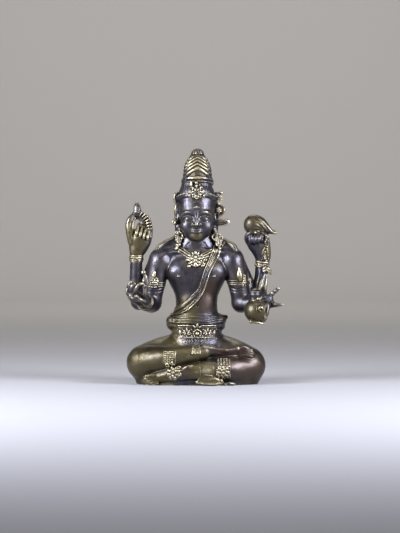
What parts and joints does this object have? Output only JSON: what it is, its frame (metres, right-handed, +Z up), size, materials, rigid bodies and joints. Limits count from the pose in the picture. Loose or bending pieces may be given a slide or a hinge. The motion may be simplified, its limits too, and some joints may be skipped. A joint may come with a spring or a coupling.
{
  "type": "shiva figure",
  "caption": "Small solid-cast bronze of a seated, cross-legged four-armed Shiva with piled hair, rosary, fly whisk, bud and water pot.",
  "frame": {"origin": "on the plane that the figure sits on, under the body's midline and the middle of its trunk", "axes": "+Z up; the figure faces -Y; its right side is at -X"},
  "size_m": [0.1002, 0.0525, 0.15],
  "materials": {
    "bronze": "dark brown-black patina with an olive-gold undertone, red-brown on the knees and waist, rubbed to pale brass on raised ornament, semi-gloss"
  },
  "bodies": {
    "root": {"shiva_figure": "bronze"}
  },
  "joints": []
}
